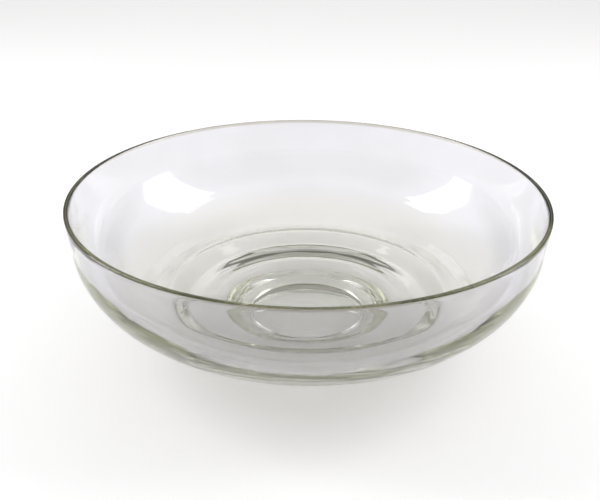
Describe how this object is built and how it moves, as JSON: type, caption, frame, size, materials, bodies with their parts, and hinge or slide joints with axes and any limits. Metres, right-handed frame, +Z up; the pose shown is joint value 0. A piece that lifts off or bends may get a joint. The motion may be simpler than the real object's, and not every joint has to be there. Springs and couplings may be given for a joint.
{
  "type": "floating candle bowl",
  "caption": "Wide shallow clear glass bowl for water and floating candles, with a floor dished towards its middle, a stepped base disc and a low ring foot.",
  "frame": {"origin": "on the table under the middle of the foot", "axes": "+Z up along the bowl's axis"},
  "size_m": [0.3046, 0.3046, 0.1016],
  "materials": {
    "clear_glass": "clear soda-lime glass with a faint yellow-green tint, fire-polished, gently uneven"
  },
  "bodies": {
    "root": {"rim_wall": "clear_glass", "bowl_shoulder": "clear_glass", "bowl_heel": "clear_glass", "bowl_floor": "clear_glass", "base_disc": "clear_glass", "well_wall": "clear_glass", "well_floor": "clear_glass", "foot_ring": "clear_glass"}
  },
  "joints": []
}
